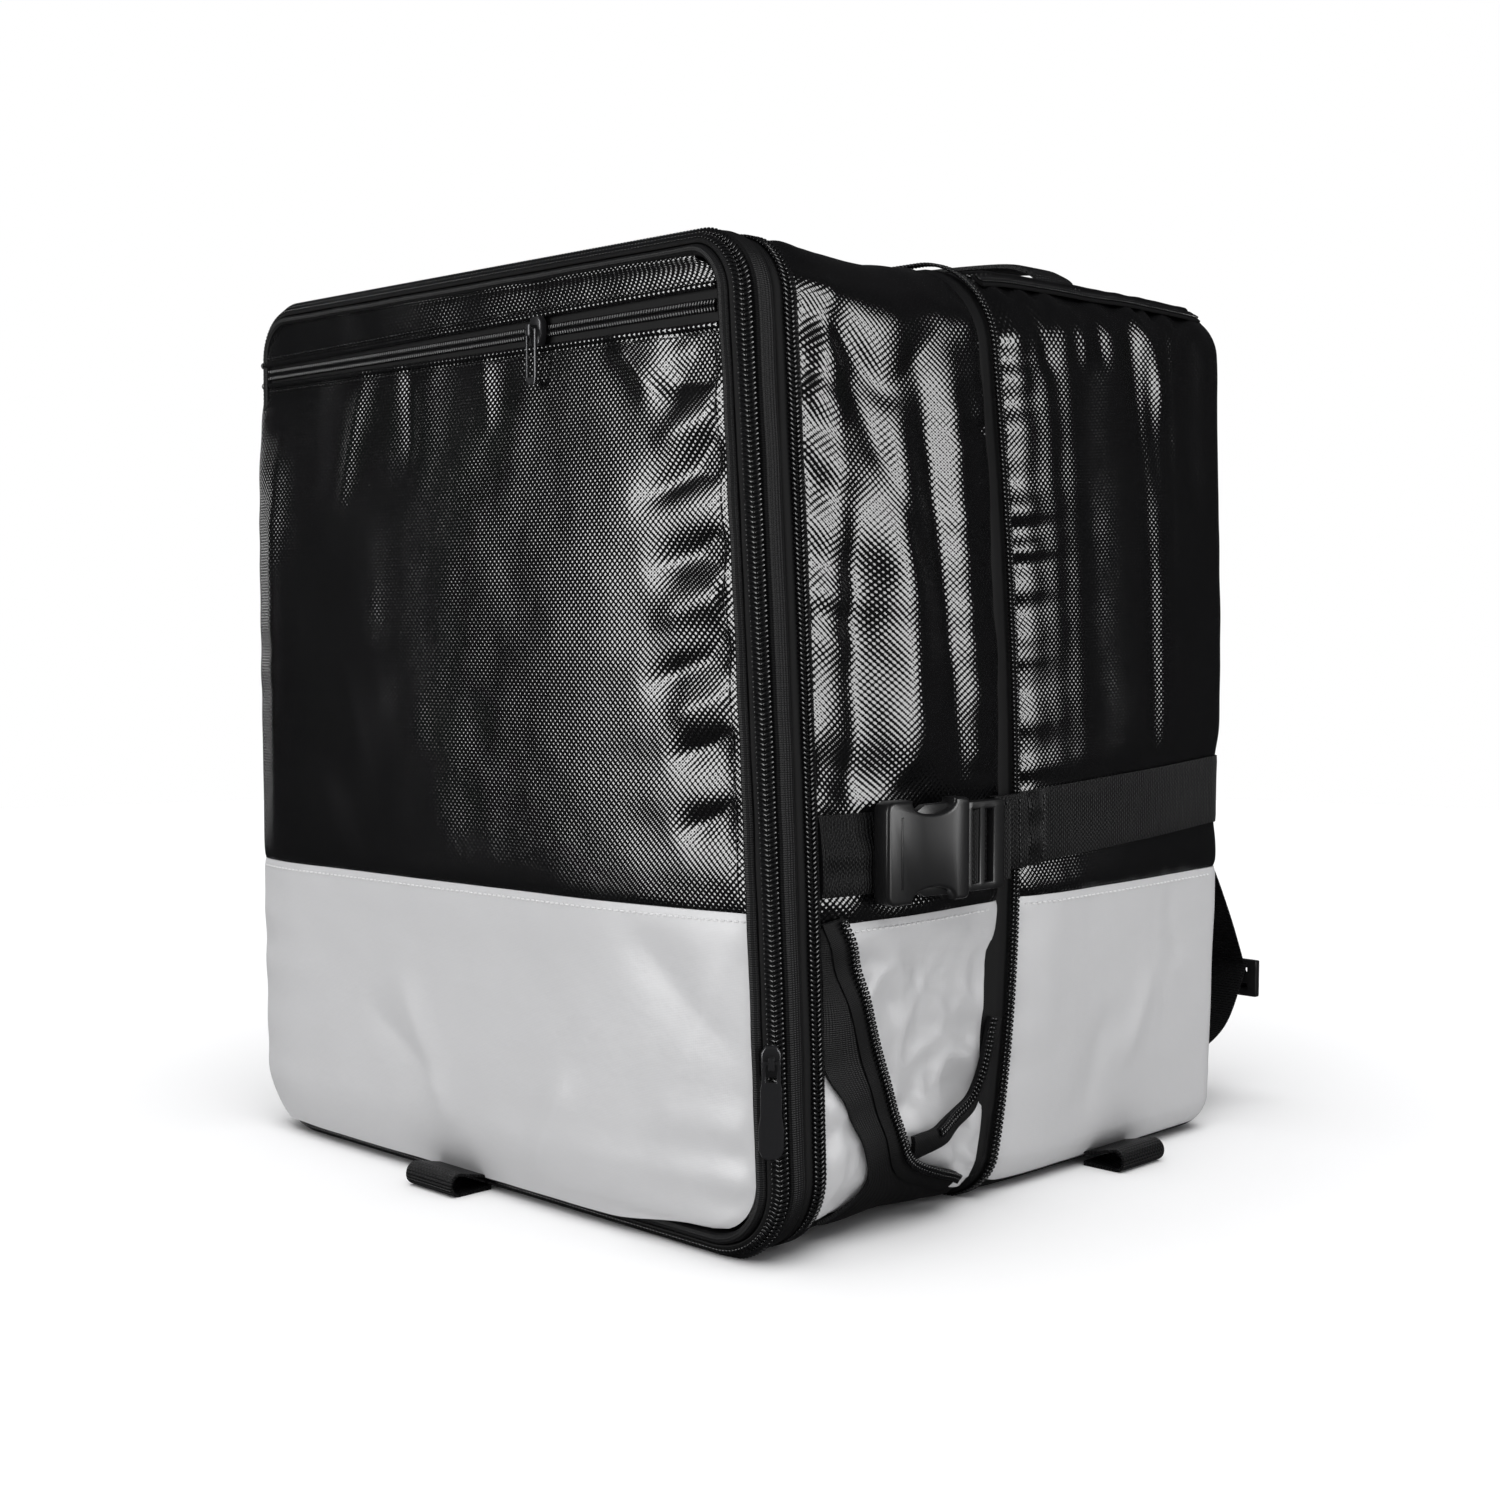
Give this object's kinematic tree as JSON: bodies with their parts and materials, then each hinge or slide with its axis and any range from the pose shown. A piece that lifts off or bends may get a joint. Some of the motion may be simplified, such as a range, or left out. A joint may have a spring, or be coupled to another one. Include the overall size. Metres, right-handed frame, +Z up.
{
  "type": "insulated delivery backpack",
  "caption": "Box-shaped insulated delivery backpack with zipped door and pocket, expansion gusset, side-release compression straps, carry handle and padded shoulder straps.",
  "frame": {"origin": "middle of the base, at the level of the floor", "axes": "+Z up, -Y towards the door with the zipped pocket, +Y towards the shoulder straps, +X towards the side that the picture shows"},
  "size_m": [0.4819, 0.5224, 0.5359],
  "materials": {
    "coated_black": "glossy coated fabric",
    "silver_fabric": "satin silver fabric",
    "webbing_black": "matte ribbed webbing",
    "binding_black": "matte grosgrain binding",
    "zipper_black": "semi-gloss coil on woven tape",
    "buckle_plastic": "satin moulded plastic",
    "pull_metal": "black lacquer",
    "padded_mesh": "matte padded mesh"
  },
  "bodies": {
    "root": {"body_upper": "coated_black", "gusset_upper": "coated_black", "door_upper": "coated_black", "door_top_band": "coated_black", "body_lower_right": "silver_fabric", "body_lower_left": "silver_fabric", "gusset_lower_right": "silver_fabric", "gusset_lower_left": "silver_fabric", "door_lower": "silver_fabric", "door_binding": "binding_black", "frame_binding": "binding_black", "gusset_base": "binding_black", "body_base": "binding_black", "door_zipper": "zipper_black", "front_expansion_zipper": "zipper_black", "rear_expansion_zipper": "zipper_black", "pocket_zipper": "zipper_black", "top_zipper": "zipper_black", "pocket_slider": "pull_metal", "door_slider": "pull_metal", "back_panel": "padded_mesh", "base_loop_front": "webbing_black", "base_loop_right": "webbing_black", "base_loop_left": "webbing_black", "top_handle": "webbing_black", "front_strap_right": "webbing_black", "rear_strap_right": "webbing_black", "strap_fold_right": "webbing_black", "shoulder_webbing_right": "webbing_black", "anchor_webbing_right": "webbing_black", "buckle_socket_right": "buckle_plastic", "buckle_plug_right": "buckle_plastic", "strap_adjuster_right": "buckle_plastic", "front_tape_right": "zipper_black", "rear_tape_right": "zipper_black", "frame_facing_right": "binding_black", "shoulder_pad_right": "padded_mesh", "front_strap_left": "webbing_black", "rear_strap_left": "webbing_black", "strap_fold_left": "webbing_black", "shoulder_webbing_left": "webbing_black", "anchor_webbing_left": "webbing_black", "buckle_socket_left": "buckle_plastic", "buckle_plug_left": "buckle_plastic", "strap_adjuster_left": "buckle_plastic", "front_tape_left": "zipper_black", "rear_tape_left": "zipper_black", "frame_facing_left": "binding_black", "shoulder_pad_left": "padded_mesh"},
    "pocket_pull": {"pocket_pull": "pull_metal"},
    "door_pull": {"door_pull": "pull_metal"}
  },
  "joints": [
    {"name": "pocket_pull_hinge", "type": "hinge", "parent": "root", "child": "pocket_pull", "pos_m": [0.056, -0.2092, 0.46171], "axis": [-1, 0, 0], "range_deg": [0, 170]},
    {"name": "door_pull_hinge", "type": "hinge", "parent": "root", "child": "door_pull", "pos_m": [0.22361, -0.20393, 0.103], "axis": [-0.7071, -0.7071, 0], "range_deg": [0, 160]}
  ]
}
